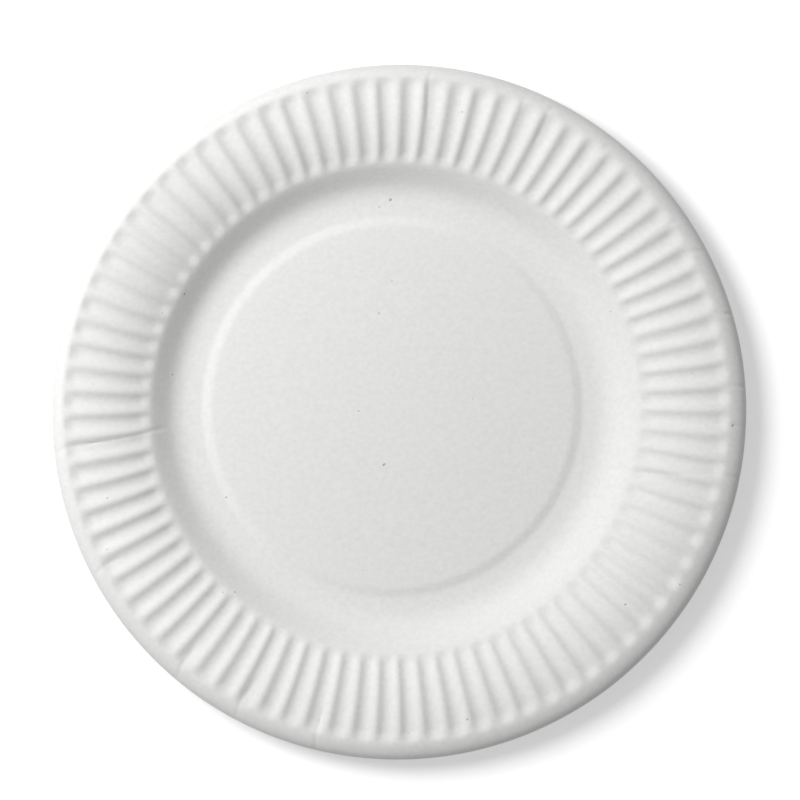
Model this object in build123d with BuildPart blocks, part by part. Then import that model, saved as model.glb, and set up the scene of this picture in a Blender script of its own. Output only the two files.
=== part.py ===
from build123d import *
from math import asin, atan2, cos, degrees, pi, radians, sin, sqrt, tan
import os

# Paper plate pressed from one round blank of board.
# Millimetres. +Z is up, and the origin is the middle of the ring that the plate stands on.

# Board and outline
plate_diameter = 230.0   # edge to edge
board = 0.4              # thickness of the paperboard

# Raised centre panel and the ring round it that touches the table
panel_radius = 60.4      # where the panel ends and the step down starts
panel_level = 24.0       # radius at which the panel's level middle turns into its slope
panel_fall = 1.5         # how much the panel falls from its middle to its edge
panel_bend = 900.0       # radius of the soft bend that makes the panel a shallow dome
step_height = 1.1        # from the panel's edge down to the standing ring
step_run = 3.0           # radial length of the step
step_bend = 5.5          # bend radius at the top and the foot of the step
ring_width = 9.2         # from the foot of the step to the foot of the wall

# Sloping wall
wall_run = 8.0           # radial length of the wall
wall_angle = 46.0        # slope of the wall
wall_foot_bend = 11.0    # bend radius between the ring and the wall
wall_top_bend = 12.0     # bend radius between the wall and the rim

# Arched rim and the lip rolled down round it
rim_angle = 29.0         # slope at the rim's inner side
rim_fall = 5.0           # slope down at the rim's outer side
lip_run = 2.0            # radial length of the lip's turned-down edge
lip_angle = 60.0         # slope down of that edge
lip_bend = 6.0           # bend radius of the roll

# Flutes pressed across the rim
flutes = 84              # number round the rim
flute_radius = 6.5       # radius of each scooped groove
crest_width = 1.35       # flat left between two grooves
flute_inner_gap = 0.5    # from the wall's top bend to the grooves' inner ends
flute_outer_gap = 0.2    # from the grooves' outer ends to the lip's bend
pressing_depth = 3.0     # how far the blocks that shape one flute reach below the board


def bend_length(radius, turn):
    """Length of each side of a corner that a bend of this radius takes up."""
    return radius * tan(radians(turn) / 2)


# Corners of the underside's section, from the middle outwards
step_foot_radius = panel_radius + step_run
wall_foot_radius = step_foot_radius + ring_width
wall_top_radius = wall_foot_radius + wall_run
wall_height = wall_run * tan(radians(wall_angle))
edge_radius = plate_diameter / 2 - board * sin(radians(lip_angle))
lip_radius = edge_radius - lip_run

# The dome's soft bend is as large as the level middle and the slope beside it leave room for
panel_slope = atan2(panel_fall, panel_radius - panel_level)
bend_room = 0.9 * min(panel_level, panel_radius - panel_level)
dome_bend = min(panel_bend, bend_room / tan(panel_slope / 2))

# The rim is one arch between the wall's bend and the lip's bend
rim_start_radius = wall_top_radius + bend_length(wall_top_bend, wall_angle - rim_angle) * cos(radians(rim_angle))
rim_start_height = wall_height + bend_length(wall_top_bend, wall_angle - rim_angle) * sin(radians(rim_angle))
rim_end_radius = lip_radius - bend_length(lip_bend, lip_angle - rim_fall) * cos(radians(rim_fall))
arch_radius = (rim_end_radius - rim_start_radius) / (sin(radians(rim_angle)) + sin(radians(rim_fall)))
arch_centre_radius = rim_start_radius + arch_radius * sin(radians(rim_angle))
arch_centre_height = rim_start_height - arch_radius * cos(radians(rim_angle))
arch_side = bend_length(arch_radius, rim_angle + rim_fall)
crown_radius = rim_start_radius + arch_side * cos(radians(rim_angle))
crown_height = rim_start_height + arch_side * sin(radians(rim_angle))
lip_height = crown_height - (lip_radius - crown_radius) * tan(radians(rim_fall))


section_corners = [
    (0, step_height + panel_fall),
    (panel_level, step_height + panel_fall),
    (panel_radius, step_height),
    (step_foot_radius, 0),
    (wall_foot_radius, 0),
    (wall_top_radius, wall_height),
    (crown_radius, crown_height),
    (lip_radius, lip_height),
    (edge_radius, lip_height - lip_run * tan(radians(lip_angle))),
]
section_bends = [
    dome_bend,
    step_bend,
    step_bend,
    wall_foot_bend,
    wall_top_bend,
    arch_radius,
    lip_bend,
]



def section_line(lift):
    """The underside's section, moved square to itself by lift with its bends kept parallel."""
    points = [Vector(*corner) for corner in section_corners]
    normals = [(end - start).normalized().rotate(Axis.Z, 90) for start, end in zip(points, points[1:])]
    moved = [points[0] + normals[0] * lift]
    bends = []
    for point, bend, before, after in zip(points[1:], section_bends, normals, normals[1:]):
        moved.append(point + (before + after) * (lift / (1 + before.dot(after))))
        bends.append(bend - lift if before.cross(after).Z > 0 else bend + lift)
    moved.append(points[-1] + normals[-1] * lift)
    return FilletPolyline(*moved, radius=bends)


def arch_point(lean, above):
    """A point over the arch, where its normal leans outwards by this angle in degrees."""
    reach = arch_radius + above
    across = arch_centre_radius + reach * sin(radians(lean))
    return (across, arch_centre_height + reach * cos(radians(lean)))


def turned_layer(low, high, turn):
    """The layer between two lines parallel to the underside, turned this far round the axis."""
    with BuildPart(mode=Mode.PRIVATE) as layer:
        with BuildSketch(Plane.XZ):
            with BuildLine():
                under = section_line(low)
                over = section_line(high)
                Line(under @ 0, over @ 0)
                Line(under @ 1, over @ 1)
            make_face()
        revolve(axis=Axis.Z, revolution_arc=turn)
    return layer.part


def half_width(radius):
    """Half the width of a groove at this radius, with the crest width left beside it."""
    return pi * radius / flutes - crest_width / 2


def lean_at(radius):
    """How far the arch's normal leans outwards at this radius, in degrees."""
    return degrees(asin((radius - arch_centre_radius) / (arch_radius + board)))


def scoop_middle(lean):
    """Middle of the scoop over the arch: lower where the grooves are wider, so deeper there."""
    radius = arch_point(lean, board)[0]
    across, height = arch_point(lean, board + sqrt(flute_radius**2 - half_width(radius) ** 2))
    return (across, 0, height)


inner_end = rim_start_radius + flute_inner_gap
outer_end = rim_end_radius - flute_outer_gap
first_lean = lean_at(inner_end + half_width(inner_end))
last_lean = lean_at(outer_end - half_width(outer_end))
pitch = 360 / flutes


def scoop(radius):
    """A round-ended bar of this radius, bent to run above the arch in the middle of one pitch."""
    with BuildPart(mode=Mode.PRIVATE) as bar:
        with BuildLine() as run:
            ThreePointArc(*[scoop_middle(lean) for lean in (first_lean, (first_lean + last_lean) / 2, last_lean)])
        with BuildSketch(Plane(origin=run.line @ 0, z_dir=run.line % 0)):
            Circle(radius)
        sweep(path=run.line)
        with Locations(run.line @ 0, run.line @ 1):
            Sphere(radius)
    return bar.part.rotate(Axis.Z, pitch / 2)


# One pitch of the plate: the board's upper block less the block that fills the space under it
with BuildPart() as under_block:
    add(turned_layer(-pressing_depth - 1, 0, pitch))
    add(scoop(flute_radius + board), mode=Mode.SUBTRACT)

with BuildPart() as slice_of_plate:
    add(turned_layer(-pressing_depth, board, pitch))
    add(scoop(flute_radius), mode=Mode.SUBTRACT)
    add(under_block.part, mode=Mode.SUBTRACT)


def is_cut_side(face):
    """Whether a face is one of the two upright sides where a slice was cut off from the next."""
    return face.geom_type == GeomType.PLANE and abs(face.normal_at().Z) < 0.5


# The plate is that slice repeated right round, and without the cut sides it is one unbroken skin
slice_skin = [face for face in slice_of_plate.faces() if not is_cut_side(face)]
plate_skin = [face.rotate(Axis.Z, index * pitch) for index in range(flutes) for face in slice_skin]

with BuildPart() as plate:
    add(Solid(Shell(plate_skin)), clean=False)

plate.part.label = "plate"
os.makedirs("parts", exist_ok=True)
export_step(plate.part, "parts/plate.step", write_pcurves=False)
print("plate valid", plate.part.is_valid, "solids", len(plate.solids()), "volume", plate.part.volume)
print(plate.part.bounding_box())
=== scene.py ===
import math
import random

import bpy
from mathutils import Matrix, Vector, noise


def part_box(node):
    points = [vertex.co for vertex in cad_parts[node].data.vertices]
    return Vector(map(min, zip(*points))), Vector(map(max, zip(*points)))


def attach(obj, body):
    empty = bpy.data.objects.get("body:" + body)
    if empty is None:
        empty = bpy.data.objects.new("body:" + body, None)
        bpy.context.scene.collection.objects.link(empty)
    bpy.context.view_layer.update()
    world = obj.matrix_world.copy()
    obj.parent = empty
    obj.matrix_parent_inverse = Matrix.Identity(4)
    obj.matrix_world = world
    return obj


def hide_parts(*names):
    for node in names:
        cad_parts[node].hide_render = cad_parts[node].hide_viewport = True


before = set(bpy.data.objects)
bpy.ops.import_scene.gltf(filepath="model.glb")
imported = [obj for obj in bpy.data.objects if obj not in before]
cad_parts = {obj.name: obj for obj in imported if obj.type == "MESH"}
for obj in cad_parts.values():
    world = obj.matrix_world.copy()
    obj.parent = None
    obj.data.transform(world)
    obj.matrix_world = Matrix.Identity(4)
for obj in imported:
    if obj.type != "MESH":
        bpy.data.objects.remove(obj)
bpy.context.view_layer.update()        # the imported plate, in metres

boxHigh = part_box("plate")[1]
mm = 0.001
random.seed(84)          # the same plate each time

# Section of the pressed board, from the middle outwards, in mm
section = {
    "edgeRadius": boxHigh[0] / mm,   # radius of the plate
    "board": 0.4,                    # thickness of the paperboard
    "panelRise": 1.5,                # the centre panel is a shallow dome
    "panelLevel": 24.0,              # radius where its level middle turns into its slope
    "panelRadius": 60.4,
    "panelBend": 900.0,
    "stepHeight": 1.1,               # step down to the ring that the plate stands on
    "stepRun": 3.0,
    "stepBend": 5.5,
    "ringWidth": 9.2,
    "wallRun": 8.3,
    "wallAngle": 46.0,
    "wallFootBend": 11.0,
    "wallTopBend": 12.0,
    "rimAngle": 32.0,                # slope where the arched rim starts
    "rimFall": 5.0,                  # slope down where it meets the lip
    "lipRun": 2.0,
    "lipAngle": 64.0,
    "lipBend": 6.0,
}

# Flutes pressed across the rim, in mm
flutes = {
    "count": 84,
    "steps": 10,            # mesh steps across each
    "depth": 1.20,          # middle of a groove below its crests, where the pitch is midPitch
    "midPitch": 7.3,        # grooves deepen with their pitch on the way out
    "grooveShare": 0.74,    # share of the pitch that is scooped, the rest is a rounded crest
    "innerGap": -0.5,       # the grooves run a little into the wall's bend
    "outerGap": -1.1,       # and a little into the lip's
    "bluntness": 2.6,       # 2 rounds the ends of the grooves fully, more squares them
    "uneven": 0.10,         # how much one groove's depth differs from the next
    "sway": 0.035,          # how far a groove stands off its even place, in pitches
}

# What pressing and handling did to this plate, in mm and degrees
handling = {
    "blankShift": (1.4, -1.15),     # the blank lay a little off the middle of the die
    "panelShift": (-0.6, 0.45),    # the middle dried a little to one side
    "panelEnd": (50, 100),         # radii between which that side shift dies out
    "rimFrom": 80.0,               # the rim is uneven from this radius outwards
    "lipWave": 0.35,               # soft ups and downs of the lip
    "wrinkle": 0.192,              # height of the small unevenness round the rim
    "sag": 0.25,                   # slow unevenness of the whole board
    "sagInside": 0.3,              # share of the sag that reaches the middle
}


def deselectAll():
    if bpy.context.object and bpy.context.object.mode != "OBJECT":
        bpy.ops.object.mode_set(mode="OBJECT")
    bpy.ops.object.select_all(action="DESELECT")


def bendSide(radius, turn):
    return radius * math.tan(math.radians(turn) / 2)    # what a bend takes of each side of its corner


def sectionCorners(s):
    stepFoot = s["panelRadius"] + s["stepRun"]
    wallFoot = stepFoot + s["ringWidth"]
    wallTop = wallFoot + s["wallRun"]
    wallHeight = s["wallRun"] * math.tan(math.radians(s["wallAngle"]))
    edge = s["edgeRadius"] - s["board"] * math.sin(math.radians(s["lipAngle"]))
    lip = edge - s["lipRun"]
    rimAngle = math.radians(s["rimAngle"])
    rimFall = math.radians(s["rimFall"])
    topBend = bendSide(s["wallTopBend"], s["wallAngle"] - s["rimAngle"])
    rimStart = wallTop + topBend * math.cos(rimAngle)
    rimEnd = lip - bendSide(s["lipBend"], s["lipAngle"] - s["rimFall"]) * math.cos(rimFall)
    archBend = (rimEnd - rimStart) / (math.sin(rimAngle) + math.sin(rimFall))
    archSide = bendSide(archBend, s["rimAngle"] + s["rimFall"])
    crown = rimStart + archSide * math.cos(rimAngle)
    crownHeight = wallHeight + (topBend + archSide) * math.sin(rimAngle)
    lipHeight = crownHeight - (lip - crown) * math.tan(rimFall)
    edgeHeight = lipHeight - s["lipRun"] * math.tan(math.radians(s["lipAngle"]))
    top = s["stepHeight"] + s["panelRise"]
    corners = [(0, top), (s["panelLevel"], top), (s["panelRadius"], s["stepHeight"]), (stepFoot, 0),
               (wallFoot, 0), (wallTop, wallHeight), (crown, crownHeight), (lip, lipHeight), (edge, edgeHeight)]
    bends = [s["panelBend"], s["stepBend"], s["stepBend"], s["wallFootBend"], s["wallTopBend"],
             archBend, s["lipBend"]]
    return corners, bends, rimStart, rimEnd


def sectionLine(s):
    corners, bends, rimStart, rimEnd = sectionCorners(s)
    steps = [4, 3, 3, 5, 3, 19, 8]     # pieces that each bend is drawn in
    runs = [2, 2, 1, 1, 2, 1, 1, 1]    # pieces of the straight stretch before each corner
    line = [Vector((0, corners[0][1]))]
    for i, bend in enumerate(bends):
        before = (Vector(corners[i + 1]) - Vector(corners[i])).normalized()
        after = (Vector(corners[i + 2]) - Vector(corners[i + 1])).normalized()
        turn = math.atan2(before.x * after.y - before.y * after.x, before.dot(after))
        side = bend * math.tan(abs(turn) / 2)
        start = Vector(corners[i + 1]) - before * side
        last = line[-1]
        for k in range(1, runs[i] + 1):
            if (start - last).length > 0.05:
                line.append(last.lerp(start, k / runs[i]))
        normal = Vector((-before.y, before.x)) * (1 if turn > 0 else -1)
        middle = start + normal * bend
        for k in range(1, steps[i] + 1):
            angle = turn * k / steps[i]
            arm = start - middle
            line.append(middle + Vector((arm.x * math.cos(angle) - arm.y * math.sin(angle),
                                         arm.x * math.sin(angle) + arm.y * math.cos(angle))))
    line.append(Vector(corners[-1]))
    return line, rimStart, rimEnd


def spinPlate(line, segments):
    edge = line[-1]
    bpy.ops.mesh.primitive_circle_add(vertices=segments, radius=edge.x * mm, fill_type="NOTHING",
                                      location=(0, 0, edge.y * mm))
    plate = bpy.context.object
    plate.name = "pressedPlate"
    bpy.ops.object.transform_apply(location=True, rotation=True, scale=True)
    bpy.ops.object.mode_set(mode="EDIT")
    bpy.ops.mesh.select_all(action="SELECT")
    radius = edge.x
    height = edge.y
    for point in reversed(line[1:-1]):    # rings drawn inwards from the edge
        grow = point.x / radius
        bpy.ops.mesh.extrude_edges_move(TRANSFORM_OT_translate={"value": (0, 0, (point.y - height) * mm)})
        bpy.ops.transform.resize(value=(grow, grow, 1), center_override=(0, 0, 0))
        radius = point.x
        height = point.y
    bpy.ops.mesh.extrude_edges_move(TRANSFORM_OT_translate={"value": (0, 0, (line[0].y - height) * mm)})
    bpy.ops.mesh.merge(type="CENTER")
    bpy.ops.mesh.select_all(action="SELECT")
    bpy.ops.mesh.normals_make_consistent(inside=False)
    bpy.ops.object.mode_set(mode="OBJECT")
    if sum(face.normal.z for face in plate.data.polygons) < 0:
        plate.data.flip_normals()    # the food side is the outside
    return plate


def slopeAt(line, radius):
    for a, b in zip(line, line[1:]):
        if radius <= b.x + 1e-6:
            return math.atan2(b.y - a.y, b.x - a.x)
    return math.atan2(line[-1].y - line[-2].y, line[-1].x - line[-2].x)


def smooth(t):
    t = min(1, max(0, t))
    return t * t * (3 - 2 * t)


def grooveDip(q, share):
    # q is the distance from a groove's middle line in pitches, and the dip is 1 there and 0 on a crest
    half = share / 2
    crest = 0.5 - half
    steep = 2 / crest
    if q <= half:
        return 1 - steep * crest / half * q * q
    if q < 0.5:
        return steep * (0.5 - q) ** 2
    return 0


def pressFlutes(plate, line, rimStart, rimEnd, f):
    slopes = {}
    sway = [random.uniform(-1, 1) * f["sway"] for _ in range(f["count"])]
    uneven = [1 + random.uniform(-1, 1) * f["uneven"] for _ in range(f["count"])]
    inner = rimStart + f["innerGap"]
    outer = rimEnd - f["outerGap"]
    innerPitch = 2 * math.pi * inner / f["count"]
    outerPitch = 2 * math.pi * outer / f["count"]
    innerMiddle = inner + innerPitch / 2       # where a groove's round inner end is centred
    outerMiddle = outer - outerPitch / 2
    for vertex in plate.data.vertices:
        radius = math.hypot(vertex.co.x, vertex.co.y) / mm
        if radius < inner or radius > outer:
            continue
        turn = (math.atan2(vertex.co.y, vertex.co.x) / (2 * math.pi)) % 1 * f["count"]
        index = int(turn) % f["count"]
        pitch = 2 * math.pi * radius / f["count"]
        across = (turn - int(turn) - 0.5 - sway[index] * math.sin(math.pi * (turn - int(turn)))) * pitch
        beyond = max(0, innerMiddle - radius, radius - outerMiddle)
        q = (abs(across) ** f["bluntness"] + beyond ** f["bluntness"]) ** (1 / f["bluntness"]) / pitch
        dip = f["depth"] * uneven[index] * grooveDip(q, f["grooveShare"]) * pitch / f["midPitch"]
        key = round(radius, 2)
        if key not in slopes:
            slopes[key] = slopeAt(line, radius)
        slope = slopes[key]
        way = Vector((vertex.co.x, vertex.co.y, 0)).normalized()
        vertex.co += way * (dip * math.sin(slope) * mm)
        vertex.co.z -= dip * math.cos(slope) * mm


creaseFrom = 70    # no crease reaches further in than this, in mm

# Creases: where each starts and ends (degrees round, mm out), how deep and how wide, in mm
creases = [
    ((186, 115), (184.5, 78), 0.45, 1.1),     # long fold across the left of the rim
    ((344, 76), (349, 114), 0.40, 1.1),       # long fold across the right
    ((207.5, 104), (207.5, 113), 0.30, 0.8),
    ((229, 103), (229.5, 114), 0.35, 0.8),
    ((242, 101), (241, 113.5), 0.30, 0.8),
    ((256, 102), (255.5, 114), 0.35, 0.8),
    ((51.3, 98), (51.8, 111), 0.30, 0.8),
    ((63, 99), (63.4, 112), 0.28, 0.8),
    ((68, 98), (68, 111), 0.30, 0.8),
    ((84.5, 97), (84.9, 112), 0.35, 0.8),
    ((34, 98), (34.3, 111), 0.25, 0.8),
    ((287, 102), (287.4, 113), 0.25, 0.8),
    ((17, 110), (16.5, 115), 0.5, 0.6),       # short dark folds at the lip
    ((4.5, 110), (4.2, 115), 0.5, 0.6),
    ((357.5, 110.5), (357.2, 115), 0.5, 0.6),
    ((28.5, 110), (28, 115), 0.4, 0.6),
]


def handlePlate(plate, line, rimEnd, h):
    edge = line[-1].x
    wall = h["rimFrom"]
    panelIn, panelOut = h["panelEnd"]
    blank = Vector(h["blankShift"])
    panel = Vector(h["panelShift"])
    folds = []
    for (a0, r0), (a1, r1), depth, width in creases:
        start = Vector((math.cos(math.radians(a0)), math.sin(math.radians(a0)))) * r0
        end = Vector((math.cos(math.radians(a1)), math.sin(math.radians(a1)))) * r1
        folds.append((start, end, depth, width))
    for vertex in plate.data.vertices:
        flat = Vector((vertex.co.x, vertex.co.y)) / mm
        radius = flat.length
        angle = math.atan2(flat.y, flat.x)
        dip = 0
        if radius > creaseFrom:
            for start, end, depth, width in folds:
                along = end - start
                t = min(1, max(0, (flat - start).dot(along) / along.length_squared))
                away = (flat - start - along * t).length
                if away < width * 2:
                    dip += depth * math.exp(-(away / (width * 0.6)) ** 2)
        lipPart = smooth((radius - rimEnd) / (edge - rimEnd))
        panelPart = 1 - smooth((radius - panelIn) / (panelOut - panelIn))
        shift = blank * lipPart + panel * panelPart
        wave = h["lipWave"] * (0.6 * math.cos(2 * angle + 0.42) + 0.4 * math.cos(3 * angle + 1.2))
        rim = smooth((radius - wall) / (edge - wall))
        vertex.co.x += shift.x * mm
        vertex.co.y += shift.y * mm
        ripple = noise.noise(Vector((math.cos(angle) * 9, math.sin(angle) * 9, radius * 0.05)))
        sag = noise.noise(Vector((flat.x * 0.02, flat.y * 0.02, 3.1))) * h["sag"]
        lift = rim * (wave + ripple * h["wrinkle"])
        reach = h["sagInside"] + (1 - h["sagInside"]) * rim
        vertex.co.z += (lift - dip + sag * reach) * mm


def giveThickness(piece, thickness):
    deselectAll()
    bpy.context.view_layer.objects.active = piece
    piece.select_set(True)
    wall = piece.modifiers.new("board", "SOLIDIFY")
    wall.thickness = thickness
    wall.offset = 1
    wall.use_even_offset = True
    bpy.ops.object.modifier_apply(modifier=wall.name)
    bpy.ops.object.shade_smooth_by_angle(angle=math.radians(45))
    deselectAll()


print("section")
line, rimStart, rimEnd = sectionLine(section)
print("plate", len(line), "rings")
deselectAll()
plate = spinPlate(line, flutes["count"] * flutes["steps"])
print("flutes")
pressFlutes(plate, line, rimStart, rimEnd, flutes)
print("handling")
handlePlate(plate, line, rimEnd, handling)
print("board")
giveThickness(plate, section["board"] * mm)


def linearColour(code):
    channels = [int(code[i:i + 2], 16) / 255 for i in (1, 3, 5)]
    return [c / 12.92 if c <= 0.04045 else ((c + 0.055) / 1.055) ** 2.4 for c in channels] + [1]


def addNode(material, kind, settings, links):
    node = material.node_tree.nodes.new(kind)
    for name, value in settings.items():
        if name in node.inputs:
            node.inputs[name].default_value = value
        else:
            setattr(node, name, value)
    for name, source in links.items():
        material.node_tree.links.new(source, node.inputs[name])
    return node


# Uncoated white paperboard, pressed damp: matte, faintly cloudy where the pulp lies unevenly,
# with a fine fibre grain and a few grey specks of recycled pulp
paperFinish = {
    "colour": "#EEEEED",
    "cloud": "#E6E6E5",
    "speck": "#B4B4B2",
    "roughness": 0.88,
    "specular": 0.18,
    "cloudSize": 1.6,      # mm, clumps of pulp
    "speckSize": 2.2,      # mm, spacing of the noise whose rare peaks are the specks
    "speckFrom": 0.80,     # only peaks above this show
    "speckFull": 0.83,
    "grainSize": 0.40,     # mm, coarser than real fibres so that it shows
    "grainHeight": 0.08,   # mm
}


def makePaperBoard(p):
    material = bpy.data.materials.new("uncoatedPaperboard")
    material.use_nodes = True
    shader = material.node_tree.nodes["Principled BSDF"]
    shader.inputs["Roughness"].default_value = p["roughness"]
    shader.inputs["Specular IOR Level"].default_value = p["specular"]
    place = addNode(material, "ShaderNodeTexCoord", {}, {}).outputs["Object"]
    cloud = addNode(material, "ShaderNodeTexNoise", {"Scale": 1 / (p["cloudSize"] * mm), "Detail": 4.0,
                                                    "Roughness": 0.6}, {"Vector": place})
    cloudRamp = addNode(material, "ShaderNodeMapRange", {"From Min": 0.35, "From Max": 0.75},
                        {"Value": cloud.outputs["Fac"]})
    speckSpots = addNode(material, "ShaderNodeTexNoise", {"Scale": 1 / (p["speckSize"] * mm), "Detail": 1.0},
                         {"Vector": place})
    speckRamp = addNode(material, "ShaderNodeMapRange", {"From Min": p["speckFrom"], "From Max": p["speckFull"]},
                        {"Value": speckSpots.outputs["Fac"]})
    body = addNode(material, "ShaderNodeMix", {"data_type": "RGBA"}, {"Factor": cloudRamp.outputs["Result"]})
    body.inputs[6].default_value = linearColour(p["colour"])
    body.inputs[7].default_value = linearColour(p["cloud"])
    specked = addNode(material, "ShaderNodeMix", {"data_type": "RGBA"}, {"Factor": speckRamp.outputs["Result"]})
    material.node_tree.links.new(body.outputs[2], specked.inputs[6])
    specked.inputs[7].default_value = linearColour(p["speck"])
    material.node_tree.links.new(specked.outputs[2], shader.inputs["Base Color"])
    grain = addNode(material, "ShaderNodeTexNoise", {"Scale": 1 / (p["grainSize"] * mm), "Detail": 6.0,
                                                    "Roughness": 0.65}, {"Vector": place})
    bump = addNode(material, "ShaderNodeBump", {"Strength": 0.35, "Distance": p["grainHeight"] * mm},
                   {"Height": grain.outputs["Fac"]})
    material.node_tree.links.new(bump.outputs["Normal"], shader.inputs["Normal"])
    return material


print("paper")
plate.data.materials.clear()
plate.data.materials.append(makePaperBoard(paperFinish))
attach(plate, "root")
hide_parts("plate")

# Studio: a white table, one big soft lamp from the upper left and even light all round
studio = {
    "tableSize": 6.0,        # m
    "lampTurn": 147,         # degrees round from +X
    "lampLift": 50,          # degrees above the table
    "lampReach": 0.95,       # m from the plate
    "lampSize": 0.45,        # m across
    "lampPower": 7.3,        # W
    "skyStrength": 0.28,
    "cameraReach": 1.35,     # m from the plate
    "cameraTilt": 6.0,       # degrees off straight down
    "cameraTurn": 144,       # side towards which the camera leans
    "viewWidth": 0.2641,     # m seen across at the lip's height
    "aim": (0.00086, 0.00348),   # m from the plate's middle
    "tableGlow": 0.38,       # lifts the white table towards white for the camera, its shadow stays
}


def makeTable(size, tableGlow):
    bpy.ops.mesh.primitive_plane_add(size=size, location=(0, 0, 0))
    table = bpy.context.object
    table.name = "table"
    bpy.ops.object.transform_apply(location=True, rotation=True, scale=True)
    material = bpy.data.materials.new("whiteTable")
    material.use_nodes = True
    tree = material.node_tree
    shader = tree.nodes["Principled BSDF"]
    shader.inputs["Base Color"].default_value = linearColour("#F6F6F6")
    shader.inputs["Roughness"].default_value = 0.9
    shader.inputs["Specular IOR Level"].default_value = 0.0
    path = addNode(material, "ShaderNodeLightPath", {}, {})
    shader.inputs["Emission Color"].default_value = (1, 1, 1, 1)
    glow = addNode(material, "ShaderNodeMath", {"operation": "MULTIPLY"}, {0: path.outputs["Is Camera Ray"]})
    glow.inputs[1].default_value = tableGlow
    tree.links.new(glow.outputs[0], shader.inputs["Emission Strength"])
    table.data.materials.append(material)


def aimAt(thing, target):
    thing.rotation_euler = (Vector(target) - thing.location).to_track_quat("-Z", "Y").to_euler()


def makeLight(s):
    turn = math.radians(s["lampTurn"])
    lift = math.radians(s["lampLift"])
    place = Vector((math.cos(turn) * math.cos(lift), math.sin(turn) * math.cos(lift), math.sin(lift)))
    bpy.ops.object.light_add(type="AREA", location=place * s["lampReach"])
    lamp = bpy.context.object
    lamp.name = "softLamp"
    lamp.data.shape = "DISK"
    lamp.data.size = s["lampSize"]
    lamp.data.energy = s["lampPower"]
    aimAt(lamp, (0, 0, 0))
    world = bpy.data.worlds.new("evenLight")
    world.use_nodes = True
    world.node_tree.nodes["Background"].inputs["Color"].default_value = (1, 1, 1, 1)
    world.node_tree.nodes["Background"].inputs["Strength"].default_value = s["skyStrength"]
    bpy.context.scene.world = world


def makeCamera(s):
    turn = math.radians(s["cameraTurn"])
    tilt = math.radians(s["cameraTilt"])
    aim = Vector((s["aim"][0], s["aim"][1], boxHigh[2] * 0.75))
    lean = Vector((math.cos(turn) * math.sin(tilt), math.sin(turn) * math.sin(tilt), math.cos(tilt)))
    bpy.ops.object.camera_add(location=aim + lean * s["cameraReach"])
    camera = bpy.context.object
    right = Vector((0, 1, 0)).cross(lean).normalized()    # keeps +Y upright in the view
    up = lean.cross(right)
    camera.rotation_euler = Matrix((right, up, lean)).transposed().to_euler()
    camera.data.sensor_width = 36
    camera.data.lens = 36 * s["cameraReach"] / s["viewWidth"]
    camera.data.clip_end = 20
    bpy.context.scene.camera = camera


print("studio")
makeTable(studio["tableSize"], studio["tableGlow"])
makeLight(studio)
makeCamera(studio)
bpy.context.scene.view_settings.view_transform = "Standard"
